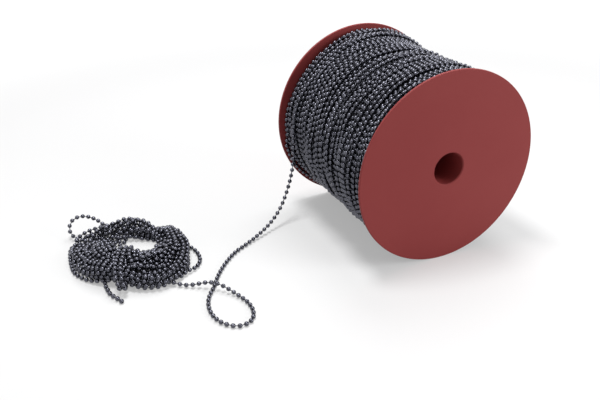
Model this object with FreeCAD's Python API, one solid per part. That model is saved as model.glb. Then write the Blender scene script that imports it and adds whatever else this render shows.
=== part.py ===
"""Ball chain on a plastic reel, with a drawn-off strand, a tied loose hank and a free tail.

Units are millimetres. +Z is up and z = 0 is the surface that the reel and the loose chain lie on.
The reel's axis is parallel to Y at height FLANGE_RADIUS, its front flange faces -Y, and the origin
lies on the surface under the middle of the reel.
"""
import FreeCAD, Part
import math
import os

V = FreeCAD.Vector

# ---- chain ----
BALL_DIAMETER = 4.5
BALL_PITCH = 6.0
BALL_WALL = 0.3
BALL_HOLE_RADIUS = 0.75
PIN_RADIUS = 0.45
PIN_HEAD_RADIUS = 0.85
HEAD_OFFSET = 1.3              # from a ball's centre to the pin head that seats in it

# ---- reel ----
FLANGE_RADIUS = 95.0
REEL_WIDTH = 173.0
FLANGE_THICKNESS = 2.5
FLANGE_EDGE_ROUNDING = 0.6
ARBOR_BORE_RADIUS = 15.75
ARBOR_WALL = 2.0
ARBOR_CHAMFER = 0.9
BARREL_RADIUS = 35.0
BARREL_WALL = 2.5
SPIGOT_WALL = 2.5
SPIGOT_HEIGHT = 9.0
BOSS_WALL = 3.0
BOSS_HEIGHT = 14.0
RIB_COUNT = 6
RIB_THICKNESS = 2.0
RIB_HEIGHT = 6.0

# ---- wound chain ----
INNER_WINDING_RADIUS = 80.0
OUTER_WINDING_FRONT_RADIUS = 88.0
OUTER_WINDING_CROWN_RADIUS = 90.5
OUTER_WINDING_REAR_RADIUS = 87.0
OUTER_WINDING_ROWS = 38        # turns of chain that lie side by side between the flanges
RIDGE_BEVEL = 38.0             # degrees round a ball's section from a ridge's crest to its shoulder

# ---- loose hank ----
HANK_HEIGHT = 18.0
HANK_EDGE_ROUNDING = 5.0
HANK_OUTLINE = [
    (-334, 45), (-329, 78), (-312, 99), (-286, 105), (-260, 98), (-238, 84), (-222, 64),
    (-218, 40), (-224, 12), (-236, -14), (-252, -28), (-270, -31), (-284.5, -22.5), (-296.5, -4),
    (-313, 7), (-328, 22),
]
HANK_HOLE_CENTRE = (-262.0, 49.0)
HANK_HOLE_HALF_X = 24.0
HANK_HOLE_HALF_Y = 18.0

# ---- tie: turns of the chain round the waist of the hank ----
TIE_CENTRE = (-288.3, 13.0)
TIE_HEADING = (-0.39, -0.92)   # from the hank's hole out to its front
TIE_LENGTH = 54.0
TIE_WIDTH = 15.0
TIE_HEIGHT = 22.5
TIE_CORNER = 8.0

# ---- lengths of loose chain: points that each centreline bends towards ----
FLOOR_Z = BALL_DIAMETER / 2
CROSSING_Z = 7.4               # the strand passes over itself
STRAND_ROUTE = [
    (-92.0, 56.0, 97.0), (-92.6, 53.6, 78.0), (-95.2, 50.2, 59.6), (-99.6, 47.7, 45.5),
    (-105.1, 45.0, 33.4), (-112.0, 41.4, 22.4), (-121.5, 36.6, 13.4), (-134.0, 30.2, 7.2),
    (-148.6, 22.8, 3.7), (-163.8, 14.6, FLOOR_Z), (-178.4, 6.4, FLOOR_Z),
    (-190.8, -4.8, FLOOR_Z), (-202.2, -17.6, FLOOR_Z), (-211.6, -30.4, FLOOR_Z),
    (-219.2, -43.8, FLOOR_Z), (-228.6, -55.4, FLOOR_Z), (-234.4, -69.6, FLOOR_Z),
    (-235.9, -84.8, FLOOR_Z), (-231.6, -99.4, FLOOR_Z), (-220.6, -109.6, FLOOR_Z),
    (-207.4, -106.6, FLOOR_Z), (-200.6, -94.2, FLOOR_Z), (-199.8, -79.0, FLOOR_Z),
    (-204.2, -65.4, 2.6), (-209.8, -55.0, 4.8), (-216.0, -47.0, CROSSING_Z),
    (-223.2, -40.8, CROSSING_Z), (-230.8, -35.8, 4.8), (-240.2, -31.4, 2.6),
    (-250.0, -24.0, 3.6),
]
STRAY_LOOP_ROUTE = [
    (-285.0, 80.0, 15.0), (-289.6, 90.4, 19.6), (-296.6, 100.0, 22.4), (-305.8, 107.2, 23.0),
    (-315.0, 109.6, 19.6), (-320.0, 107.8, 11.6), (-318.6, 101.6, 5.2), (-312.0, 92.0, 3.6),
]
SIDE_LOOP_ROUTE = [
    (-229.0, 44.0, 5.0), (-218.6, 38.0, 3.2), (-213.6, 27.4, FLOOR_Z), (-213.0, 15.4, FLOOR_Z),
    (-215.8, 3.8, FLOOR_Z), (-223.2, -5.6, 2.9), (-233.6, -9.6, 4.2),
]
TAIL_LEAD_ROUTE = [(-302.6, 17.6, 4.6), (-306.8, 9.4, 3.0), (-308.6, 0.4, FLOOR_Z)]

# ---- free tail: headings in degrees, from -Y towards +X, lying on the surface ----
TAIL_ANCHOR = (-308.0, -6.3)
TAIL_BALL_HEADINGS = [-6.0, 11.0, 22.0, 25.0, 19.0]
TAIL_PIN_HEADINGS = [6.0, 17.0, 26.0, 22.0]

# ---- derived ----
HALF_WIDTH = REEL_WIDTH / 2
INNER_HALF_WIDTH = HALF_WIDTH - FLANGE_THICKNESS
ARBOR_RADIUS = ARBOR_BORE_RADIUS + ARBOR_WALL
BALL_RADIUS = BALL_DIAMETER / 2
PIN_LENGTH = BALL_PITCH - 2 * HEAD_OFFSET
AXIS_HEIGHT = FLANGE_RADIUS
ALONG_REEL = V(0, 1, 0)


def ring(outer_radius, inner_radius, y_start, y_end):
    """A plain tube round the reel's axis."""
    base = V(0, y_start, AXIS_HEIGHT)
    length = y_end - y_start
    outer = Part.makeCylinder(outer_radius, length, base, ALONG_REEL)
    return outer.cut(Part.makeCylinder(inner_radius, length, base, ALONG_REEL))


def circle_edges_at(shape, radius, y):
    """The shape's circular edges of one radius in one plane across the reel's axis."""
    found = []
    for edge in shape.Edges:
        if not isinstance(edge.Curve, Part.Circle):
            continue
        if abs(edge.Curve.Radius - radius) < 1e-6 and abs(edge.Curve.Center.y - y) < 1e-6:
            found.append(edge)
    return found


def front_flange():
    """The disc, its boss round the arbor tube, its spigot inside the barrel, and the ribs between."""
    disc = ring(FLANGE_RADIUS, ARBOR_RADIUS, -HALF_WIDTH, -INNER_HALF_WIDTH)
    rims = circle_edges_at(disc, FLANGE_RADIUS, -HALF_WIDTH)
    rims += circle_edges_at(disc, FLANGE_RADIUS, -INNER_HALF_WIDTH)
    disc = disc.makeFillet(FLANGE_EDGE_ROUNDING, rims)
    spigot_radius = BARREL_RADIUS - BARREL_WALL
    boss_radius = ARBOR_RADIUS + BOSS_WALL
    boss = ring(boss_radius, ARBOR_RADIUS, -INNER_HALF_WIDTH, -INNER_HALF_WIDTH + BOSS_HEIGHT)
    spigot = ring(spigot_radius, spigot_radius - SPIGOT_WALL,
                  -INNER_HALF_WIDTH, -INNER_HALF_WIDTH + SPIGOT_HEIGHT)
    body = disc.fuse([boss, spigot] + flange_ribs(boss_radius, spigot_radius - SPIGOT_WALL))
    return body.removeSplitter()


def flange_ribs(inner_radius, outer_radius):
    """Radial ribs that tie a flange's boss to its spigot."""
    overlap = 0.5
    length = outer_radius - inner_radius + 2 * overlap
    ribs = []
    for i in range(RIB_COUNT):
        rib = Part.makeBox(length, RIB_HEIGHT, RIB_THICKNESS,
                           V(inner_radius - overlap, -INNER_HALF_WIDTH, -RIB_THICKNESS / 2))
        rib.rotate(V(0, 0, 0), ALONG_REEL, 360.0 * i / RIB_COUNT)
        rib.translate(V(0, 0, AXIS_HEIGHT))
        ribs.append(rib)
    return ribs


def rear_flange():
    """The same moulding as the front flange, turned half round about the vertical."""
    flange = front_flange()
    flange.rotate(V(0, 0, 0), V(0, 0, 1), 180)
    return flange


def winding_barrel():
    """The drum that the chain is wound on, held between the flanges."""
    return ring(BARREL_RADIUS, BARREL_RADIUS - BARREL_WALL, -INNER_HALF_WIDTH, INNER_HALF_WIDTH)


def arbor_tube():
    """The bore for the spindle: it runs through both flanges and is chamfered at its mouths."""
    tube = ring(ARBOR_RADIUS, ARBOR_BORE_RADIUS, -HALF_WIDTH, HALF_WIDTH)
    mouths = circle_edges_at(tube, ARBOR_BORE_RADIUS, -HALF_WIDTH)
    mouths += circle_edges_at(tube, ARBOR_BORE_RADIUS, HALF_WIDTH)
    return tube.makeChamfer(ARBOR_CHAMFER, mouths)


def wound_chain_inner():
    """The even, hidden layers of the winding."""
    return ring(INNER_WINDING_RADIUS, BARREL_RADIUS, -INNER_HALF_WIDTH, INNER_HALF_WIDTH)


def winding_row_centres():
    """Where each turn of the top layer lies, as (radius, y): crowned between the flanges."""
    pitch = 2 * INNER_HALF_WIDTH / OUTER_WINDING_ROWS
    centres = []
    for row in range(OUTER_WINDING_ROWS):
        y = -INNER_HALF_WIDTH + pitch * (row + 0.5)
        edge = OUTER_WINDING_FRONT_RADIUS if y < 0 else OUTER_WINDING_REAR_RADIUS
        drop = (OUTER_WINDING_CROWN_RADIUS - edge) * (y / INNER_HALF_WIDTH) ** 2
        centres.append(V(OUTER_WINDING_CROWN_RADIUS - drop - BALL_RADIUS, y, 0))
    return centres


def on_ball(centre, degrees):
    """A point on a turn's round section: 0 is its crest, and positive is towards the rear flange."""
    turn = math.radians(degrees)
    return centre + V(BALL_RADIUS * math.cos(turn), BALL_RADIUS * math.sin(turn), 0)


def wound_chain_outer():
    """The top layers of the winding, with a bevelled ridge for each turn of chain that shows."""
    half_pitch = INNER_HALF_WIDTH / OUTER_WINDING_ROWS
    groove = math.degrees(math.asin(half_pitch / BALL_RADIUS))
    centres = winding_row_centres()
    points = [V(INNER_WINDING_RADIUS, -INNER_HALF_WIDTH, 0), on_ball(centres[0], -groove)]
    for centre, following in zip(centres, centres[1:] + centres[-1:]):
        points.append(on_ball(centre, -RIDGE_BEVEL))
        points.append(on_ball(centre, 0))
        points.append(on_ball(centre, RIDGE_BEVEL))
        bottom = on_ball(centre, groove)
        bottom.x = (bottom.x + on_ball(following, groove).x) / 2
        points.append(bottom)
    points.append(V(INNER_WINDING_RADIUS, INNER_HALF_WIDTH, 0))
    winding = Part.Face(Part.makePolygon(points + points[:1])).revolve(V(0, 0, 0), ALONG_REEL, 360)
    winding.translate(V(0, 0, AXIS_HEIGHT))
    return winding


def cord_wire(route, name):
    """Straight runs joined by tangent arcs, each arc as large as its two runs allow."""
    points = [V(*p) for p in route]
    edges = []
    radii = []
    start = points[0]
    for before, corner, after in zip(points, points[1:], points[2:]):
        arriving = corner - before
        leaving = after - corner
        setback = 0.45 * min(arriving.Length, leaving.Length)
        arriving.normalize()
        leaving.normalize()
        half_turn = arriving.getAngle(leaving) / 2
        radius = setback / math.tan(half_turn)
        arc_start = corner - arriving * setback
        arc_end = corner + leaving * setback
        inward = leaving - arriving
        inward.normalize()
        arc_middle = corner + inward * (radius / math.cos(half_turn) - radius)
        edges.append(Part.LineSegment(start, arc_start).toShape())
        edges.append(Part.Arc(arc_start, arc_middle, arc_end).toShape())
        radii.append(radius)
        start = arc_end
    edges.append(Part.LineSegment(start, points[-1]).toShape())
    print(name, "bend radii (mm):", " ".join("%.1f" % r for r in radii))
    return Part.Wire(edges)


def cord_tube(route, name):
    """A round length of loose chain, as the plain tube that its balls would fill."""
    path = cord_wire(route, name)
    heading = V(*route[1]) - V(*route[0])
    section = Part.Wire(Part.makeCircle(BALL_RADIUS, V(*route[0]), heading))
    tube = path.makePipeShell([section], True, False)
    expected = math.pi * BALL_RADIUS ** 2 * path.Length
    print(name, "length %.1f mm, volume / (section x length) = %.4f"
          % (path.Length, tube.Volume / expected))
    return tube


def loose_hank():
    """The outer shape of the loosely coiled chain, open in the middle."""
    outline = Part.BSplineCurve()
    outline.interpolate([V(x, y, 0) for x, y in HANK_OUTLINE], PeriodicFlag=True)
    body = Part.Face(Part.Wire(outline.toShape())).extrude(V(0, 0, HANK_HEIGHT))
    body = body.makeFillet(HANK_EDGE_ROUNDING, [e for e in body.Edges if e.Length > BARREL_RADIUS])
    hole = Part.Ellipse(V(*HANK_HOLE_CENTRE, 0), HANK_HOLE_HALF_X, HANK_HOLE_HALF_Y)
    opening = Part.Face(Part.Wire(hole.toShape())).extrude(V(0, 0, HANK_HEIGHT))
    return body.cut(opening)


def rounded_bar(length, height, corner, width):
    """A bar across Y with rounded long edges, centred on X, standing on z = 0."""
    bar = Part.makeBox(length, width, height, V(-length / 2, -width / 2, 0))
    long_edges = [e for e in bar.Edges if abs(e.tangentAt(e.FirstParameter).y) > 0.9]
    return bar.makeFillet(corner, long_edges)


def hank_tie():
    """The chain's last turns, wound round the waist of the hank."""
    tie = rounded_bar(TIE_LENGTH, TIE_HEIGHT, TIE_CORNER, TIE_WIDTH)
    window = rounded_bar(TIE_LENGTH - 2 * BALL_DIAMETER, TIE_HEIGHT - 2 * BALL_DIAMETER,
                         TIE_CORNER - BALL_DIAMETER, TIE_WIDTH)
    window.translate(V(0, 0, BALL_DIAMETER))
    tie = tie.cut(window)
    turn = math.degrees(math.atan2(TIE_HEADING[1], TIE_HEADING[0]))
    tie.rotate(V(0, 0, 0), V(0, 0, 1), turn)
    tie.translate(V(*TIE_CENTRE, 0))
    return tie


def heading_vector(degrees):
    """A level unit vector, turned from -Y towards +X."""
    return V(math.sin(math.radians(degrees)), -math.cos(math.radians(degrees)), 0)


def hollow_ball(centre, heading):
    """A rolled steel ball with a hole at each end of its axis for the pins."""
    shell = Part.makeSphere(BALL_RADIUS, centre).cut(Part.makeSphere(BALL_RADIUS - BALL_WALL, centre))
    drill_start = centre - heading * BALL_DIAMETER
    drill = Part.makeCylinder(BALL_HOLE_RADIUS, 2 * BALL_DIAMETER, drill_start, heading)
    return shell.cut(drill)


def dumbbell_pin(head, heading):
    """A link pin: a thin shank with a round head at each end, one inside each of two balls."""
    far_head = head + heading * PIN_LENGTH
    shank = Part.makeCylinder(PIN_RADIUS, PIN_LENGTH, head, heading)
    heads = [Part.makeSphere(PIN_HEAD_RADIUS, head), Part.makeSphere(PIN_HEAD_RADIUS, far_head)]
    return shank.fuse(heads)


def tail_pieces():
    """The free end, ball by ball: each ball and pin can tilt about the head between them."""
    pieces = {}
    centre = V(*TAIL_ANCHOR, FLOOR_Z)
    pieces["tail_ball_0"] = hollow_ball(centre, heading_vector(TAIL_BALL_HEADINGS[0]))
    for i, pin_degrees in enumerate(TAIL_PIN_HEADINGS):
        pin_heading = heading_vector(pin_degrees)
        ball_heading = heading_vector(TAIL_BALL_HEADINGS[i + 1])
        near_head = centre + heading_vector(TAIL_BALL_HEADINGS[i]) * HEAD_OFFSET
        far_head = near_head + pin_heading * PIN_LENGTH
        centre = far_head + ball_heading * HEAD_OFFSET
        pieces["tail_pin_%d" % (i + 1)] = dumbbell_pin(near_head, pin_heading)
        pieces["tail_ball_%d" % (i + 1)] = hollow_ball(centre, ball_heading)
        print("tail %d: heads at (%.4f, %.4f) and (%.4f, %.4f), ball at (%.4f, %.4f)"
              % (i + 1, near_head.x, near_head.y, far_head.x, far_head.y, centre.x, centre.y))
    return pieces


def build():
    """Every sub-part of the model, by its node's name."""
    parts = {
        "front_flange": front_flange(),
        "rear_flange": rear_flange(),
        "winding_barrel": winding_barrel(),
        "arbor_tube": arbor_tube(),
        "wound_chain_inner": wound_chain_inner(),
        "wound_chain_outer": wound_chain_outer(),
        "free_strand": cord_tube(STRAND_ROUTE, "free_strand"),
        "loose_hank": loose_hank(),
        "hank_tie": hank_tie(),
        "stray_loop": cord_tube(STRAY_LOOP_ROUTE, "stray_loop"),
        "side_loop": cord_tube(SIDE_LOOP_ROUTE, "side_loop"),
        "tail_lead": cord_tube(TAIL_LEAD_ROUTE, "tail_lead"),
    }
    parts.update(tail_pieces())
    return parts


os.makedirs("parts", exist_ok=True)
for node, shape in build().items():
    print("%-18s solids %d valid %s volume %.1f mm3" % (node, len(shape.Solids), shape.isValid(), shape.Volume))
    shape.exportStep("parts/%s.step" % node)
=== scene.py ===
"""Looks for a reel of ball chain with a drawn-off strand and a tied loose hank."""
import math

import bpy
import numpy as np
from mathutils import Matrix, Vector


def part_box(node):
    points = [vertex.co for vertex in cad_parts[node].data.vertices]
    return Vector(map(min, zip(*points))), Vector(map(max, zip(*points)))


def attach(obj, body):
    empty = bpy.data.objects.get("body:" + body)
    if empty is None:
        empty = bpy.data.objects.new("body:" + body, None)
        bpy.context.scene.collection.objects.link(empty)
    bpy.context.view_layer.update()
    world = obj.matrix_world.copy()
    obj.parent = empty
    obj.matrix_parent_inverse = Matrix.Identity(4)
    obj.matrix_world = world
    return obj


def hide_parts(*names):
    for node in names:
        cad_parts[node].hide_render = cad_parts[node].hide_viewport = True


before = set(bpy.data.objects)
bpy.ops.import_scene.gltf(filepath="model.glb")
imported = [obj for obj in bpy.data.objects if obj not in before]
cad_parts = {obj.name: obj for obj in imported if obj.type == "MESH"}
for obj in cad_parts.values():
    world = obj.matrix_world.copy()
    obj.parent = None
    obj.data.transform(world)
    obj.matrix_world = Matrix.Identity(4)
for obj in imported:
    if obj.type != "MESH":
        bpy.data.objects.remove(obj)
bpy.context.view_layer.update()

MM = 0.001

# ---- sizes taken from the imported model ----
FLANGE_LOW, FLANGE_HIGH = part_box("front_flange")
REAR_LOW, REAR_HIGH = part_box("rear_flange")
R = (FLANGE_HIGH.z - FLANGE_LOW.z) / 2            # flange radius, m
AXIS_X = (FLANGE_HIGH.x + FLANGE_LOW.x) / 2
AXIS_Z = FLANGE_LOW.z + R
REEL_MID_Y = (FLANGE_LOW.y + REAR_HIGH.y) / 2
BARREL_LOW, BARREL_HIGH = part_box("winding_barrel")
WINDING_HALF = (BARREL_HIGH.y - BARREL_LOW.y) / 2 / MM   # mm, between the flanges

# ---- chain, mm ----
WOUND_BALL_RADIUS = 2.15
LOOSE_BALL_RADIUS = 2.2
BALL_HOLE = 0.7                        # radius of the rim of a pin's hole
BALL_RINGS = (46, 75, 105, 134)        # where a ball's mesh has rings, degrees from its hole
DIMPLE_DEPTH = 0.45
BALL_PITCH = 6.0                       # of the loose chain
WOUND_PITCH = 5.75                     # round the reel
PIN_RADIUS = 0.45
PIN_SEATING = 1.1                      # how much longer a pin is than the gap between two balls
BALL_SIDES, PIN_SIDES = 12, 6
CONTACT = 4.3                          # between the centres of wound balls that touch


# ------------------------------------------------------------------ meshes
def new_mesh_object(name, verts, faces, loops_total, material):
    """An object from flat arrays: vertex positions in metres, loop vertex indices and face sizes."""
    mesh = bpy.data.meshes.new(name)
    mesh.vertices.add(len(verts))
    mesh.vertices.foreach_set("co", np.asarray(verts, np.float32).ravel())
    mesh.loops.add(len(faces))
    mesh.loops.foreach_set("vertex_index", np.asarray(faces, np.int32))
    starts = np.concatenate([[0], np.cumsum(loops_total)[:-1]])
    mesh.polygons.add(len(loops_total))
    mesh.polygons.foreach_set("loop_start", starts.astype(np.int32))
    mesh.polygons.foreach_set("use_smooth", np.ones(len(loops_total), bool))
    mesh.update(calc_edges=True)
    mesh.validate()
    mesh.materials.append(material)
    obj = bpy.data.objects.new(name, mesh)
    bpy.context.scene.collection.objects.link(obj)
    return obj


def lathe(profile, segments):
    """Vertices, loops and face sizes of a closed shape turned about X, from a profile with its ends on X."""
    angles = np.arange(segments) * 2 * math.pi / segments
    rings = [(x, r) for x, r in profile[1:-1]]
    verts = [(profile[0][0], 0.0, 0.0)]
    for x, r in rings:
        verts += [(x, r * math.cos(a), r * math.sin(a)) for a in angles]
    verts.append((profile[-1][0], 0.0, 0.0))
    last = len(verts) - 1
    loops, sizes = [], []
    for i in range(segments):
        j = (i + 1) % segments
        loops += [0, 1 + j, 1 + i]
        sizes.append(3)
        for k in range(len(rings) - 1):
            a, b = 1 + k * segments, 1 + (k + 1) * segments
            loops += [a + i, a + j, b + j, b + i]
            sizes.append(4)
        a = 1 + (len(rings) - 1) * segments
        loops += [a + i, a + j, last]
        sizes.append(3)
    return np.array(verts), np.array(loops), np.array(sizes)


def ball_profile(radius):
    """A rolled ball, with the drawn-in rim of a pin's hole at each end of its axis."""
    edge = math.asin(BALL_HOLE / radius)
    turns = [edge] + [math.radians(a) for a in BALL_RINGS] + [math.pi - edge]
    rings = [(-radius * math.cos(a), radius * math.sin(a)) for a in turns]
    dimple = radius * math.cos(edge) - DIMPLE_DEPTH
    return [(-dimple, 0.0)] + rings + [(dimple, 0.0)]


def pin_profile(length):
    """The shank of a pin, with flat ends inside its two balls."""
    half = length / 2
    return [(-half, 0.0), (-half, PIN_RADIUS), (half, PIN_RADIUS), (half, 0.0)]


def frames_along(directions, rolls):
    """One rotation matrix per unit direction, its X along the direction, rolled by the given angle."""
    up = np.where(np.abs(directions[:, 2:3]) > 0.9, [[1.0, 0.0, 0.0]], [[0.0, 0.0, 1.0]])
    side = np.cross(up, directions)
    side /= np.linalg.norm(side, axis=1, keepdims=True)
    top = np.cross(directions, side)
    c, s = np.cos(rolls)[:, None], np.sin(rolls)[:, None]
    return np.stack([directions, side * c + top * s, top * c - side * s], axis=2)


def stamp(template, centres, directions, rolls):
    """Copies of a template in mm, one at each centre along its direction, as arrays in metres."""
    verts, loops, sizes = template
    turned = np.einsum("nij,vj->nvi", frames_along(directions, rolls), verts) + centres[:, None, :]
    offsets = np.arange(len(centres))[:, None] * len(verts)
    return (turned.reshape(-1, 3) * MM, (loops[None, :] + offsets).ravel(), np.tile(sizes, len(centres)))


def joined(parts):
    """Several sets of arrays as one."""
    verts, loops, sizes, base = [], [], [], 0
    for v, l, s in parts:
        verts.append(v)
        loops.append(l + base)
        sizes.append(s)
        base += len(v)
    return np.concatenate(verts), np.concatenate(loops), np.concatenate(sizes)


def unit(v):
    return v / np.maximum(np.linalg.norm(v, axis=-1, keepdims=True), 1e-9)


# ------------------------------------------------------------------ the winding
TURNS = 100                            # laid in the outer layers
WINDING_FLOOR = 79.4                   # radius on which the first of them rests
WINDING_LIMIT = 92.7                   # no ball's centre is further out, so none stands past the flanges
LEAVES_AT = (math.pi, 56.0, 91.3)      # angle round the axis, y and radius where the strand leaves
EDGE_Y = WINDING_HALF - CONTACT / 2 - 0.3
TRAVERSE_STEPS = (4.6, 5.3, 6.0, 6.8, 8.2)         # from one turn to the next across the reel
TRAVERSE_CHANCES = (0.22, 0.28, 0.26, 0.16, 0.08)
SWAY_SIZES = (1.5, 0.9, 0.5, 0.35)     # of the first four waves in a turn
SWAY_KEPT, SWAY_ADDED = 0.86, 0.5
SIDE_STEP = 1.5                        # how far a ball may roll sideways to lie lower
SIDE_COST = 0.22                       # height that it must gain for that, per square mm
NEIGHBOUR_REACH = 14.0                 # sideways reach within which balls that were laid are looked at
TENSION_ROUNDS = 25
LEAVING_BALLS = 26                     # over which the last turn goes to where the strand leaves
PIECE_BALLS = 1000


def traverse(rng):
    """Where each turn starts across the reel: to and fro, and ending where the strand leaves."""
    y, step, starts = LEAVES_AT[1], 1.0, [LEAVES_AT[1]]
    for _ in range(TURNS):
        y += step * rng.choice(TRAVERSE_STEPS, p=TRAVERSE_CHANCES)
        if abs(y) > EDGE_Y:
            y = math.copysign(EDGE_Y, y)
            step = -step
        starts.append(y)
    return starts[::-1]


def drifted(rng, sway):
    """The sway of the next turn: much like the last one's, because each turn leans on it."""
    fresh = rng.normal(size=sway.shape) * SWAY_SIZES
    return SWAY_KEPT * sway + SWAY_ADDED * fresh


def swayed(theta, sway):
    """A smooth offset across the reel at each angle."""
    return sum(sway[0, k] * np.sin((k + 1) * theta) + sway[1, k] * np.cos((k + 1) * theta)
               for k in range(sway.shape[1]))


def resting_radius(theta, y, laid, floor_radius):
    """How far out a ball at each (theta, y) rests on the balls that are already laid."""
    if not len(laid):
        return np.full(theta.shape, floor_radius)
    turn = np.angle(np.exp(1j * (theta[..., None] - laid[:, 0])))
    lateral = laid[:, 2] * np.sin(turn)
    spare = CONTACT ** 2 - (y[..., None] - laid[:, 1]) ** 2 - lateral ** 2
    near = (spare > 0) & (np.abs(turn) < 0.2)
    touch = laid[:, 2] * np.cos(turn) + np.sqrt(np.where(near, spare, 0.0))
    return np.maximum(np.where(near, touch, 0.0).max(axis=-1), floor_radius)


def wind():
    """Lays the chain on turn by turn; gives every ball's (theta, y, radius) in order."""
    rng = np.random.default_rng(11)
    starts = traverse(rng)
    laid = np.zeros((0, 3))
    theta_end = 0.0
    chain = []
    sway = np.zeros((2, len(SWAY_SIZES)))
    shifts = np.linspace(-SIDE_STEP, SIDE_STEP, 7)
    for a, b in zip(starts, starts[1:]):
        level = laid[-60:, 2].mean() if len(laid) > 60 else WINDING_FLOOR
        count = int(2 * math.pi * level / WOUND_PITCH)
        theta = theta_end + 2 * math.pi * (np.arange(count) + 1) / (count + rng.uniform(0.25, 0.75))
        s = (np.arange(count) + 1) / count
        fresh = drifted(rng, sway)
        y = a + (b - a) * s + swayed(theta, sway) * (1 - s) + swayed(theta, fresh) * s
        theta_end, sway = theta[-1], fresh
        y = np.clip(y, -EDGE_Y, EDGE_Y)
        close = laid[np.abs(laid[:, 1] - (a + b) / 2) < abs(b - a) / 2 + NEIGHBOUR_REACH]
        options = np.clip(y[:, None] + shifts, -EDGE_Y, EDGE_Y)
        around = np.broadcast_to(theta[:, None], options.shape)
        rests = resting_radius(around, options, close, WINDING_FLOOR) + SIDE_COST * shifts ** 2
        y = options[np.arange(count), rests.argmin(axis=1)]
        kernel = np.ones(7) / 7
        y = np.convolve(np.pad(y, 3, mode="edge"), kernel, mode="valid")
        rest = resting_radius(theta, y, close, WINDING_FLOOR)
        r = rest.copy()
        bow = level * (1 - math.cos(WOUND_PITCH / level))
        for _ in range(TENSION_ROUNDS):
            r = np.maximum(rest, (np.roll(r, 1) + np.roll(r, -1)) / 2 - bow)
        turn = np.stack([theta, y, r], axis=1)
        chain.append(turn)
        laid = np.concatenate([laid, turn])
    chain = np.concatenate(chain)
    chain[:, 0] += LEAVES_AT[0] - chain[-1, 0]
    return chain


def smooth_step(x, low, high):
    t = np.clip((x - low) / (high - low), 0, 1)
    return t * t * (3 - 2 * t)


def bell(theta, centre, width):
    """1 where theta, in radians, is the centre, in degrees, and falling away to each side."""
    return np.exp(-(np.angle(np.exp(1j * (theta - math.radians(centre)))) / width) ** 2)


def settle_to_reel(chain):
    """Shifts the build-up to the radius seen on the reel, which is uneven round and across it."""
    theta, y, r = chain.T
    crown = 88.9 - 0.7 * (y / WINDING_HALF) ** 2
    crown -= 5.5 * bell(theta, 135, 0.7) * smooth_step(y, 30, 78)
    crown -= 4.6 * bell(theta, 222, 0.75) * smooth_step(y, 20, 78)
    crown -= 2.8 * smooth_step(-y, 30, 84)
    top = np.percentile(r, 88)
    return np.stack([theta, y, np.minimum(r + (crown - top), WINDING_LIMIT)], axis=1)


def seen_from_outside(chain):
    """Drops the balls that lie wholly under others."""
    cell = 1.0
    wide = int(2 * math.pi * 88 / cell)
    cover = np.zeros((wide, int(2 * WINDING_HALF / cell) + 8))
    seen = np.zeros(len(chain), bool)
    reach = np.arange(-2, 3)
    dx, dy = (g.ravel() for g in np.meshgrid(reach, reach))
    disc = dx ** 2 + dy ** 2 <= 4.5
    dx, dy = dx[disc], dy[disc]
    column = (np.mod(chain[:, 0], 2 * math.pi) * 88 / cell).astype(int)
    row = ((chain[:, 1] + WINDING_HALF) / cell).astype(int) + 3
    for i in np.argsort(-chain[:, 2]):
        u, v = (column[i] + dx) % wide, row[i] + dy
        under = cover[u, v] > chain[i, 2] + 1.5
        seen[i] = under.mean() < 0.93
        inner = dx ** 2 + dy ** 2 <= 3
        free = cover[u[inner], v[inner]] == 0
        cover[u[inner][free], v[inner][free]] = chain[i, 2]
    return seen


def wound_points():
    """Centres of the wound balls in mm, in order along the chain, and which of them show."""
    chain = settle_to_reel(wind())
    fade = smooth_step(np.arange(len(chain)), len(chain) - LEAVING_BALLS, len(chain) - 1)
    chain[:, 1] += fade * (LEAVES_AT[1] - chain[-1, 1])
    chain[:, 2] += fade * (LEAVES_AT[2] - chain[-1, 2])
    seen = seen_from_outside(chain)
    theta, y, r = chain.T
    centres = np.stack([r * np.cos(theta), y, r * np.sin(theta)], axis=1)
    centres += (AXIS_X / MM, REEL_MID_Y / MM, AXIS_Z / MM)
    return centres, seen


def chain_arrays(centres, keep, radius, rng):
    """Balls at the kept centres, and the pin from each to the next ball."""
    step = np.diff(centres, axis=0)
    along = unit(np.concatenate([step[:1], step[:-1] + step[1:], step[-1:]]))
    rolls = rng.uniform(0, 6.28, len(centres))
    balls = stamp(lathe(ball_profile(radius), BALL_SIDES), centres[keep], along[keep], rolls[keep])
    linked = keep[:-1]
    gap = float(np.median(np.linalg.norm(step, axis=1))) - 2 * radius + PIN_SEATING
    pins = stamp(lathe(pin_profile(gap), PIN_SIDES), ((centres[:-1] + centres[1:]) / 2)[linked],
                 unit(step)[linked], rolls[:-1][linked])
    return balls, pins


def build_winding(material):
    """The wound chain, in pieces of up to PIECE_BALLS balls, from the inner layers to the last turn."""
    centres, seen = wound_points()
    rng = np.random.default_rng(5)
    order = np.flatnonzero(seen)
    shares = np.array_split(order, max(1, math.ceil(len(order) / PIECE_BALLS)))
    for n, chosen in enumerate(shares):
        keep = np.zeros(len(centres), bool)
        keep[chosen] = True
        balls, pins = chain_arrays(centres, keep, WOUND_BALL_RADIUS, rng)
        piece = new_mesh_object("wound_chain_%02d" % (n + 1), *joined([balls, pins]), material)
        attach(piece, "reel")
        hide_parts("wound_chain_outer")
    print("winding:", len(centres), "balls laid,", len(order), "shown,", len(shares), "pieces")


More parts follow.
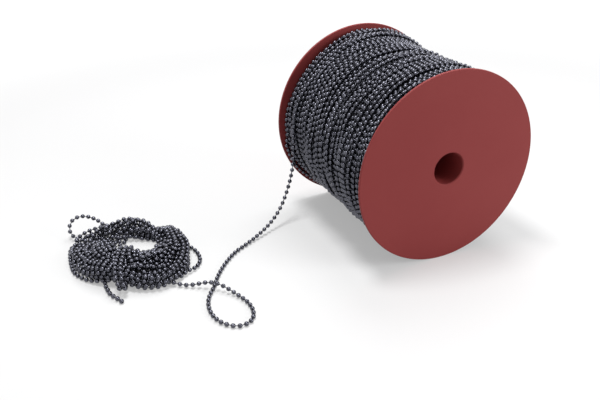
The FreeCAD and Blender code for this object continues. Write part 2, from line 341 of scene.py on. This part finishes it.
# ------------------------------------------------------------------ the loose chain, mm
FLOOR_Z = 2.25                         # height of a ball's centre on the surface
CROSSING_Z = 7.4                       # where the strand passes over itself
STRAND_ROUTE = [
    (-92.0, 56.0, 97.0), (-92.6, 53.6, 78.0), (-95.2, 50.2, 59.6), (-99.6, 47.7, 45.5),
    (-105.1, 45.0, 33.4), (-112.0, 41.4, 22.4), (-121.5, 36.6, 13.4), (-134.0, 30.2, 7.2),
    (-148.6, 22.8, 3.7), (-163.8, 14.6, FLOOR_Z), (-178.4, 6.4, FLOOR_Z),
    (-190.8, -4.8, FLOOR_Z), (-202.2, -17.6, FLOOR_Z), (-211.6, -30.4, FLOOR_Z),
    (-219.2, -43.8, FLOOR_Z), (-228.6, -55.4, FLOOR_Z), (-234.4, -69.6, FLOOR_Z),
    (-235.9, -84.8, FLOOR_Z), (-231.6, -99.4, FLOOR_Z), (-220.6, -109.6, FLOOR_Z),
    (-207.4, -106.6, FLOOR_Z), (-200.6, -94.2, FLOOR_Z), (-199.8, -79.0, FLOOR_Z),
    (-204.2, -65.4, 2.6), (-209.8, -55.0, 4.8), (-216.0, -47.0, CROSSING_Z),
    (-223.2, -40.8, CROSSING_Z), (-230.8, -35.8, 4.8), (-240.2, -31.4, 2.6),
    (-250.0, -24.0, 3.6),
]
STRAY_LOOP_ROUTE = [
    (-312.0, 92.0, 3.6), (-318.6, 101.6, 5.2), (-320.0, 107.8, 11.6), (-315.0, 109.6, 19.6),
    (-305.8, 107.2, 23.0), (-296.6, 100.0, 22.4), (-289.6, 90.4, 19.6), (-285.0, 80.0, 15.0),
]
SIDE_LOOP_ROUTE = [
    (-229.0, 44.0, 5.0), (-218.6, 38.0, 3.2), (-213.6, 27.4, FLOOR_Z), (-213.0, 15.4, FLOOR_Z),
    (-215.8, 3.8, FLOOR_Z), (-223.2, -5.6, 2.9), (-233.6, -9.6, 4.2),
]
TAIL_LEAD_ROUTE = [
    (-302.6, 17.6, 4.6), (-306.8, 9.4, 3.0), (-308.6, 0.4, FLOOR_Z), (-308.0, -6.3, FLOOR_Z),
]
HANK_OUTLINE = [
    (-334, 45), (-329, 78), (-312, 99), (-286, 105), (-260, 98), (-238, 84), (-222, 64),
    (-218, 40), (-224, 12), (-236, -14), (-252, -28), (-270, -31), (-284.5, -22.5), (-296.5, -4),
    (-313, 7), (-328, 22),
]
# Where no turns lie, so that the floor can show: centre and half sizes.
GAPS = ((-257.0, 58.0, 13.0, 9.0), (-271.5, 38.0, 7.0, 5.5))
TIE_CENTRE = (-288.3, 13.0)
TIE_HEADING = (-0.39, -0.92)
TIE_REACH, TIE_LOW, TIE_TOP = 25.4, 2.25, 21.2
# Where each turn of the hank lies in turn: across from the gap (0) to the outside (1), and its layer.
TURNS_TO_STRAY_LOOP = [
    (0.92, 0), (0.66, 0), (0.40, 0), (0.14, 0), (0.0, 0), (0.26, 0), (0.53, 0), (0.80, 0), (1.0, 0),
]
TURNS_TO_SIDE_LOOP = [
    (0.55, 1), (0.24, 1), (0.0, 0.8), (0.10, 1), (0.40, 1), (0.66, 1), (0.86, 1), (1.0, 0.6),
]
TURNS_TO_TIE = [
    (0.97, 1.4), (0.80, 2), (0.60, 2), (0.40, 2), (0.18, 1.8), (0.0, 1.5), (0.28, 2.4), (0.50, 2.8),
    (0.70, 3), (0.90, 3), (0.99, 2.6), (0.80, 3.6), (0.58, 3.4), (0.36, 3.2), (0.66, 4), (0.92, 4),
    (0.70, 4.2),
]
LAYER = 3.8                            # from one layer of turns to the next
FAR_WALL = 7.0                         # how far the upper turns stand back from the gap on its far side
NEAR_SLOPE = 4.5                       # and on its near side, for each layer
# The line, in x and y, from which the turns rise towards the front.
GAP_NEAR_EDGE = ((-276.0, 84.0), (-269.0, 47.0), (-248.0, 44.0), (-241.0, 84.0))
NEAR_RISE = 0.5
GAP_MARGIN = 2.2
WAIST_HALF_WIDTH, WAIST_HALF_LENGTH = 26, 40       # where the tie draws the turns in
TIE_HALF_WIDTH = 6.0

# ---- how the loose turns settle, mm and shares per round ----
STEP = 3.0                             # between the points that are moved
APART = 4.35                           # between strands that touch
SINK = 0.03
SINKING_SHARE = 0.8                    # of the rounds
PUSH_APART = 0.32
STIFF_SPAN = 4                         # links over which the chain resists bending
STIFF_CHORD = 3.8 * STEP               # shortest distance across that span
STIFF_PUSH = 0.35
SMOOTHING = 0.2
LINK_ROUNDS = 3
ROUNDS, QUICK_ROUNDS = 420, 60


def spline_points(control, resolution=8):
    """Points in mm along one open NURBS spline through the given control points."""
    curve = bpy.data.curves.new("route", "CURVE")
    curve.dimensions = "3D"
    curve.resolution_u = resolution
    spline = curve.splines.new("NURBS")
    spline.points.add(len(control) - 1)
    spline.points.foreach_set("co", np.hstack([np.asarray(control), np.ones((len(control), 1))]).ravel())
    spline.order_u = 3
    spline.use_endpoint_u = True
    holder = bpy.data.objects.new("route", curve)
    mesh = bpy.data.meshes.new_from_object(holder)
    points = np.zeros(len(mesh.vertices) * 3)
    mesh.vertices.foreach_get("co", points)
    bpy.data.objects.remove(holder)
    bpy.data.curves.remove(curve)
    bpy.data.meshes.remove(mesh)
    return points.reshape(-1, 3)


def spaced(points, spacing):
    """Points an equal distance apart along a line, as near to the spacing as fits its length."""
    run = np.concatenate([[0], np.cumsum(np.linalg.norm(np.diff(points, axis=0), axis=1))])
    count = max(2, int(round(run[-1] / spacing)))
    at = np.linspace(0, run[-1], count + 1)
    return np.stack([np.interp(at, run, points[:, k]) for k in range(3)], axis=1)


def tie_route():
    """The tie: off the hank's top, three times over its waist, and under it to the tail.

    Its front loops stand off the surface, which leaves room for the tail to swing.
    """
    ahead = np.array((*TIE_HEADING, 0.0))
    ahead /= np.linalg.norm(ahead)
    left = np.array((ahead[1], -ahead[0], 0.0))
    centre = np.array((*TIE_CENTRE, 0.0))
    mid = (TIE_LOW + TIE_TOP) / 2
    half = (TIE_TOP - TIE_LOW) / 2

    def at(lateral, side, z):
        return tuple(centre + ahead * lateral + left * side + (0, 0, z))

    route = [at(19.0, -23.0, 15.5), at(12.0, -14.0, 19.6), at(3.0, -7.5, TIE_TOP)]
    side = -5.4
    for turn in range(3):
        lean = side + turn * 4.9
        route += [at(-8, lean, TIE_TOP), at(-18, lean, TIE_TOP - 0.4),
                  at(-TIE_REACH + 0.6, lean, mid + half * 0.62), at(-TIE_REACH, lean, mid),
                  at(-TIE_REACH + 0.6, lean, mid - half * 0.62)]
        if turn < 2:
            route += [at(-18, lean + 0.6, TIE_LOW), at(-7, lean + 1.2, TIE_LOW), at(6, lean + 1.4, TIE_LOW),
                      at(18, lean + 0.6, TIE_LOW), at(25, lean, TIE_LOW + 0.9),
                      at(31, lean - 0.8, TIE_LOW + 4.9), at(34.5, lean - 1.0, TIE_LOW + 8.6),
                      at(33.0, lean, TIE_LOW + 12.8),
                      at(27.5, lean + 2.4, TIE_TOP - 3.2), at(17, lean + 4.3, TIE_TOP),
                      at(5, lean + 4.6, TIE_TOP)]
    route += [at(-18, 6.4, TIE_LOW + 0.2), at(-9, 10.6, TIE_LOW + 0.6)]
    return route


def polar_reach(points, centre):
    """A function from direction to distance, for an outline seen from inside it."""
    offset = np.asarray(points, float) - centre
    angle = np.arctan2(offset[:, 1], offset[:, 0])
    order = np.argsort(angle)
    angle, reach = angle[order], np.linalg.norm(offset, axis=1)[order]
    angle = np.concatenate([angle - 2 * math.pi, angle, angle + 2 * math.pi])
    reach = np.tile(reach, 3)
    return lambda a: np.interp(np.mod(a + math.pi, 2 * math.pi) - math.pi, angle, reach)


def gap_edge(centre, margin):
    """The outline of both gaps together, as points round the first."""
    rim = []
    for a in np.linspace(0, 2 * math.pi, 72, endpoint=False):
        way = np.array((math.cos(a), math.sin(a)))
        far = 0.0
        for gx, gy, hx, hy in GAPS:
            for step in np.arange(0, 45, 0.5):
                p = centre + way * step
                if ((p[0] - gx) / (hx + margin)) ** 2 + ((p[1] - gy) / (hy + margin)) ** 2 < 1:
                    far = max(far, step)
        rim.append(centre + way * far)
    return rim


def hank_turns(start, end, places, rng):
    """A first guess at the loose turns between two points: clockwise, through each place in turn."""
    centre = np.array(GAPS[0][:2])
    inner = polar_reach(gap_edge(centre, 2.5), centre)
    outer = polar_reach(HANK_OUTLINE, centre)
    a0 = math.atan2(start[1] - centre[1], start[0] - centre[0])
    a1 = math.atan2(end[1] - centre[1], end[0] - centre[0])
    sweep = ((a0 - a1) % (2 * math.pi)) + 2 * math.pi * (len(places) - 1)
    t = np.linspace(0, 1, int(sweep / 0.1))
    angle = a0 - sweep * t
    at = t * (len(places) - 1)
    across, layer = (np.interp(at, np.arange(len(places)), column) for column in np.transpose(places))
    stray = 0.035 + 0.02 * layer
    for k in (1, 2, 3):
        sway = np.interp(at, np.arange(len(places) + 1), rng.normal(size=len(places) + 1))
        across = across + stray / k * sway * np.sin(k * angle + rng.uniform(0, 6.28))
    across = np.clip(across, 0.0, 1.0)
    near = inner(angle) + FAR_WALL * bell(angle, 80, 0.6) * np.clip(layer - 0.5, 0, 1)
    near = np.minimum(near + NEAR_SLOPE * bell(angle, -100, 0.8) * layer, outer(angle) - 12)
    distance = near * (1 - across) + (outer(angle) - 2.3) * across
    xy = centre + np.stack([np.cos(angle), np.sin(angle)], axis=1) * distance[:, None]
    line = np.column_stack([xy, FLOOR_Z + LAYER * layer])
    ease = np.minimum(1, np.minimum(t, 1 - t) * sweep / 0.7)[:, None]
    ends = np.where(t[:, None] < 0.5, start, end)
    line = line * ease + ends * (1 - ease)
    return spaced(np.vstack([start, line, end]), STEP)


def near_pairs(x, reach):
    """Index pairs of points that are closer than reach and not neighbours along the chain."""
    found = []
    for first in range(0, len(x), 400):
        gap = x[first:first + 400, None] - x[None]
        i, j = np.nonzero(np.einsum("ijk,ijk->ij", gap, gap) < reach * reach)
        i = i + first
        keep = j > i + 3
        found.append((i[keep], j[keep]))
    return np.concatenate([f[0] for f in found]), np.concatenate([f[1] for f in found])


def spread(count, i, j, push):
    """Adds each pair's push to its two points."""
    move = np.zeros((count, 3))
    for k in range(3):
        move[:, k] = np.bincount(j, push[:, k], count) - np.bincount(i, push[:, k], count)
    return move


def keep_inside(x, loose):
    """Draws the loose points over the floor, into the outline, out of the gaps and inside the tie."""
    centre = np.array(GAPS[0][:2])
    outer = polar_reach(HANK_OUTLINE, centre)
    offset = x[:, :2] - centre
    away = np.linalg.norm(offset, axis=1)
    limit = outer(np.arctan2(offset[:, 1], offset[:, 0])) - FLOOR_Z
    over = loose & (away > limit)
    x[over, :2] = centre + offset[over] * (limit[over] / away[over])[:, None]
    for gx, gy, hx, hy in GAPS:
        q = (x[:, :2] - (gx, gy)) / (hx + GAP_MARGIN, hy + GAP_MARGIN)
        size = np.linalg.norm(q, axis=1)
        hit = loose & (size < 1)
        pushed = q[hit] / np.maximum(size[hit], 0.05)[:, None]
        target = pushed * (hx + GAP_MARGIN, hy + GAP_MARGIN) + (gx, gy)
        x[hit, :2] += (target - x[hit, :2]) * 0.5
    ahead = np.array(TIE_HEADING) / np.linalg.norm(TIE_HEADING)
    rel = x[:, :2] - TIE_CENTRE
    along = rel @ ahead
    beside = rel @ (ahead[1], -ahead[0])
    waist = loose & (np.abs(beside) < WAIST_HALF_WIDTH) & (np.abs(along) < WAIST_HALF_LENGTH)
    flare = np.clip(np.abs(beside) - TIE_HALF_WIDTH, 0, 20)
    bound = TIE_REACH - APART - 0.2 + 0.9 * flare
    shift = np.clip(along, -bound, bound) - along
    x[waist, :2] += (ahead * shift[:, None])[waist] * 0.6
    top = np.minimum(x[:, 2], TIE_TOP - APART + 0.5 * flare)
    bottom = np.minimum(TIE_LOW + APART, TIE_LOW + APART + 2.0 - 0.7 * flare)
    x[waist, 2] = np.maximum(top, bottom)[waist]
    edge = np.interp(x[:, 0], *np.transpose(GAP_NEAR_EDGE))
    slope = np.maximum(NEAR_RISE * (edge - x[:, 1]), 0) + FLOOR_Z
    high = loose & (x[:, 1] < edge) & (x[:, 2] > slope)
    x[high, 2] += 0.5 * (slope - x[:, 2])[high]
    x[loose, 2] = np.maximum(x[loose, 2], FLOOR_Z)


def relax(x, loose, rounds):
    """Lets the loose turns settle on each other, resisting sharp bends and passing through."""
    n = len(x)
    free = loose.astype(float)[:, None]
    bend = np.arange(n - STIFF_SPAN)
    for step in range(rounds):
        if step % 8 == 0:
            i, j = near_pairs(x, APART + 2.5)
            busy = loose[i] | loose[j]
            i, j = i[busy], j[busy]
        x[:, 2] -= SINK * loose * (step < rounds * SINKING_SHARE)
        gap = x[j] - x[i]
        far = np.maximum(np.linalg.norm(gap, axis=1), 1e-4)
        push = gap * (np.clip(APART - far, 0, None) / far * PUSH_APART)[:, None]
        x += spread(n, i, j, push) * free
        chord = x[bend + STIFF_SPAN] - x[bend]
        length = np.maximum(np.linalg.norm(chord, axis=1), 1e-4)
        push = chord * (np.clip(STIFF_CHORD - length, 0, None) / length * STIFF_PUSH)[:, None]
        x += spread(n, bend, bend + STIFF_SPAN, push) * free
        x[1:-1] += SMOOTHING * free[1:-1] * ((x[:-2] + x[2:]) / 2 - x[1:-1])
        for _ in range(LINK_ROUNDS):
            for parity in (0, 1):
                a = np.arange(parity, n - 1, 2)
                link = x[a + 1] - x[a]
                length = np.maximum(np.linalg.norm(link, axis=1), 1e-4)
                weight = free[a, 0] + free[a + 1, 0]
                fix = link * ((length - STEP) / length / np.maximum(weight, 1))[:, None]
                x[a] += fix * free[a]
                x[a + 1] -= fix * free[a + 1]
        keep_inside(x, loose)
    return x


def loose_chain_route():
    """Every control point of the loose chain's spline, from the reel to the tail."""
    rng = np.random.default_rng(23)
    fixed = [STRAND_ROUTE, STRAY_LOOP_ROUTE, SIDE_LOOP_ROUTE, tie_route() + TAIL_LEAD_ROUTE]
    places = [TURNS_TO_STRAY_LOOP, TURNS_TO_SIDE_LOOP, TURNS_TO_TIE]
    runs = [spaced(spline_points(fixed[0]), STEP)]
    held = [np.ones(len(runs[0]), bool)]
    for route, turns in zip(fixed[1:], places):
        points = spaced(spline_points(route), STEP)
        guess = hank_turns(runs[-1][-1], points[0], turns, rng)[1:-1]
        runs += [guess, points]
        held += [np.zeros(len(guess), bool), np.ones(len(points), bool)]
    x = np.concatenate(runs)
    loose = ~np.concatenate(held)
    x = relax(x, loose, ROUNDS)
    control, at = [], 0
    for k, run in enumerate(runs):
        if k % 2:
            control += [tuple(p) for p in x[at:at + len(run)][1:-1:2]]
        else:
            control += fixed[k // 2]
        at += len(run)
    return control


def build_loose_chain(material):
    """Balls and pins along one spline, from the reel through the hank and its tie to the tail."""
    control = loose_chain_route()
    path = spline_points(control, 6)
    centres = spaced(path, BALL_PITCH)
    rng = np.random.default_rng(9)
    odd = np.arange(len(centres)) % 2 == 1
    halves = [chain_arrays(centres, keep, LOOSE_BALL_RADIUS, rng) for keep in (~odd, odd)]
    chain = new_mesh_object("loose_chain_balls_1", *halves[0][0], material)
    others = new_mesh_object("loose_chain_balls_2", *halves[1][0], material)
    links = new_mesh_object("loose_chain_pins", *joined([half[1] for half in halves]), material)
    for piece in (chain, others, links):
        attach(piece, "loose_chain")
    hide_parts("free_strand", "loose_hank", "hank_tie", "stray_loop", "side_loop", "tail_lead")


# ------------------------------------------------------------------ materials
def node_material(name):
    material = bpy.data.materials.new(name)
    material.use_nodes = True
    nodes, links = material.node_tree.nodes, material.node_tree.links
    return material, nodes, links, nodes["Principled BSDF"]


def noise(nodes, links, scale, detail=3.0, roughness=0.55):
    coords = nodes.new("ShaderNodeTexCoord")
    texture = nodes.new("ShaderNodeTexNoise")
    texture.inputs["Scale"].default_value = scale
    texture.inputs["Detail"].default_value = detail
    texture.inputs["Roughness"].default_value = roughness
    links.new(coords.outputs["Object"], texture.inputs["Vector"])
    return texture


def ramp(nodes, links, source, low, high, start=0.3, end=0.7):
    node = nodes.new("ShaderNodeValToRGB")
    node.color_ramp.elements[0].position, node.color_ramp.elements[0].color = start, low
    node.color_ramp.elements[1].position, node.color_ramp.elements[1].color = end, high
    links.new(source, node.inputs["Fac"])
    return node


def bump(nodes, links, source, strength, distance, shader):
    node = nodes.new("ShaderNodeBump")
    node.inputs["Strength"].default_value = strength
    node.inputs["Distance"].default_value = distance
    links.new(source, node.inputs["Height"])
    links.new(node.outputs["Normal"], shader.inputs["Normal"])
    return node


def chain_steel():
    """Gunmetal-plated steel: dark, cool and satin, with slight differences from ball to ball."""
    material, nodes, links, shader = node_material("gunmetal_chain")
    shader.inputs["Metallic"].default_value = 1.0
    spots = noise(nodes, links, 260.0, 2.0)
    tint = ramp(nodes, links, spots.outputs["Fac"], (0.066, 0.067, 0.083, 1), (0.115, 0.117, 0.140, 1))
    links.new(tint.outputs["Color"], shader.inputs["Base Color"])
    wear = noise(nodes, links, 900.0, 3.0)
    gloss = ramp(nodes, links, wear.outputs["Fac"], (0.10, 0.10, 0.10, 1), (0.18, 0.18, 0.18, 1))
    links.new(gloss.outputs["Color"], shader.inputs["Roughness"])
    bump(nodes, links, wear.outputs["Fac"], 0.12, 0.0001, shader)
    return material


def deep_chain_painted_shade():
    """The layers deep in the winding, which show only as dark gaps: painted shade, a near-black colour in
    place of the shaded steel there.
    """
    material, nodes, links, shader = node_material("wound_chain_depth")
    shader.inputs["Metallic"].default_value = 0.6
    shader.inputs["Roughness"].default_value = 0.55
    beads = nodes.new("ShaderNodeTexVoronoi")
    beads.inputs["Scale"].default_value = 190.0
    coords = nodes.new("ShaderNodeTexCoord")
    links.new(coords.outputs["Object"], beads.inputs["Vector"])
    # painted shade: near black, and darker still towards the edge of each bead's cell
    tint = ramp(nodes, links, beads.outputs["Distance"],
                (0.03, 0.03, 0.04, 1), (0.004, 0.004, 0.006, 1), 0.1, 0.6)
    links.new(tint.outputs["Color"], shader.inputs["Base Color"])
    bump(nodes, links, beads.outputs["Distance"], 0.6, 0.002, shader)
    return material


def red_plastic():
    """Moulded, matt dull-red plastic with a fine texture and faint flow marks."""
    material, nodes, links, shader = node_material("moulded_red_plastic")
    shader.inputs["Roughness"].default_value = 0.55
    shader.inputs["Specular IOR Level"].default_value = 0.2
    cloud = noise(nodes, links, 9.0, 4.0)
    tint = ramp(nodes, links, cloud.outputs["Fac"], (0.252, 0.038, 0.038, 1), (0.276, 0.045, 0.044, 1))
    links.new(tint.outputs["Color"], shader.inputs["Base Color"])
    grain = noise(nodes, links, 1400.0, 2.0)
    bump(nodes, links, grain.outputs["Fac"], 0.25, 0.00012, shader)
    return material


def dress(node, material):
    """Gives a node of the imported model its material."""
    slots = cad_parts[node].data.materials
    slots.clear()
    slots.append(material)


# ------------------------------------------------------------------ stage
def stage_floor():
    """A wide pale floor that keeps the shadows, shows as near white and fades to the white round it."""
    size = 30 * R
    mesh = bpy.data.meshes.new("floor")
    corners = [(-size, -size, 0), (size, -size, 0), (size, size, 0), (-size, size, 0)]
    mesh.from_pydata(corners, [], [(0, 1, 2, 3)])
    floor = bpy.data.objects.new("floor", mesh)
    bpy.context.scene.collection.objects.link(floor)
    material, nodes, links, shader = node_material("pale_floor")
    shader.inputs["Base Color"].default_value = (0.48, 0.48, 0.482, 1)
    shader.inputs["Roughness"].default_value = 0.9
    shader.inputs["Specular IOR Level"].default_value = 0.0
    coords = nodes.new("ShaderNodeTexCoord")
    distance = nodes.new("ShaderNodeVectorMath")
    distance.operation = "LENGTH"
    links.new(coords.outputs["Object"], distance.inputs[0])
    lift = nodes.new("ShaderNodeMapRange")
    lift.interpolation_type = "SMOOTHSTEP"
    lift.inputs["From Min"].default_value = 6 * R
    lift.inputs["From Max"].default_value = 14 * R
    lift.inputs["To Min"].default_value = 0.36
    lift.inputs["To Max"].default_value = 1.0
    links.new(distance.outputs["Value"], lift.inputs["Value"])
    shown = nodes.new("ShaderNodeMath")
    shown.operation = "MULTIPLY"
    links.new(seen_rays(nodes, links).outputs[0], shown.inputs[0])
    links.new(lift.outputs["Result"], shown.inputs[1])
    shader.inputs["Emission Color"].default_value = (1, 1, 1, 1)
    links.new(shown.outputs[0], shader.inputs["Emission Strength"])
    mesh.materials.append(material)


def seen_rays(nodes, links):
    """1 for rays from the camera, from reflections and through glass, and 0 for the rest."""
    path = nodes.new("ShaderNodeLightPath")
    first = nodes.new("ShaderNodeMath")
    first.operation = "MAXIMUM"
    links.new(path.outputs["Is Camera Ray"], first.inputs[0])
    links.new(path.outputs["Is Glossy Ray"], first.inputs[1])
    both = nodes.new("ShaderNodeMath")
    both.operation = "MAXIMUM"
    links.new(first.outputs[0], both.inputs[0])
    links.new(path.outputs["Is Transmission Ray"], both.inputs[1])
    return both


def stage_world(light):
    """White as a background and in reflections, and a plain soft light otherwise."""
    world = bpy.data.worlds.new("studio")
    bpy.context.scene.world = world
    world.use_nodes = True
    nodes, links = world.node_tree.nodes, world.node_tree.links
    background = nodes["Background"]
    background.inputs["Color"].default_value = (1, 1, 1, 1)
    seen = seen_rays(nodes, links)
    strength = nodes.new("ShaderNodeMapRange")
    strength.inputs["To Min"].default_value = light
    strength.inputs["To Max"].default_value = 1.0
    links.new(seen.outputs[0], strength.inputs["Value"])
    links.new(strength.outputs[0], background.inputs["Strength"])


def area_lamp(name, place, target, size, watts):
    data = bpy.data.lights.new(name, "AREA")
    data.shape = "DISK"
    data.size = size
    data.energy = watts
    lamp = bpy.data.objects.new(name, data)
    lamp.location = place
    lamp.rotation_euler = (Vector(target) - Vector(place)).to_track_quat("-Z", "Y").to_euler()
    bpy.context.scene.collection.objects.link(lamp)


def stage_camera():
    """The viewing angle: from the front left, 27 degrees above the surface."""
    data = bpy.data.cameras.new("camera")
    data.lens = 46.35
    data.sensor_width = 36.0
    data.clip_start = 0.05
    data.clip_end = 50.0
    camera = bpy.data.objects.new("camera", data)
    camera.location = Vector((AXIS_X, REEL_MID_Y, 0)) + Vector((-4.2547, -6.4110, 4.1955)) * R
    camera.rotation_euler = Vector((0.3847, 0.7995, -0.4612)).to_track_quat("-Z", "Y").to_euler()
    bpy.context.scene.collection.objects.link(camera)
    bpy.context.scene.camera = camera


# ------------------------------------------------------------------ the scene
bpy.context.scene.view_settings.view_transform = "Standard"
stage_camera()
stage_floor()
stage_world(0.34)
area_lamp("key", (5 * R, 7 * R, 16 * R), (-1.0 * R, 0, 0), 10 * R, 12.0)
area_lamp("top", (-3 * R, 1 * R, 14 * R), (-1.0 * R, 0, 0), 4 * R, 12.0)
area_lamp("fill", (9 * R, -10 * R, 6 * R), (0, 0, 1.0 * R), 8 * R, 10.0)

STEEL = chain_steel()
# the material of the deep layers of the winding is painted shade
DEEP_LAYERS_PAINTED_SHADE = deep_chain_painted_shade()
RED = red_plastic()
for node, material in (("front_flange", RED), ("rear_flange", RED), ("arbor_tube", RED),
                       ("winding_barrel", RED), ("wound_chain_inner", DEEP_LAYERS_PAINTED_SHADE)):
    dress(node, material)
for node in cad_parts:
    if node.startswith("tail_"):
        dress(node, STEEL)
build_winding(STEEL)
build_loose_chain(STEEL)
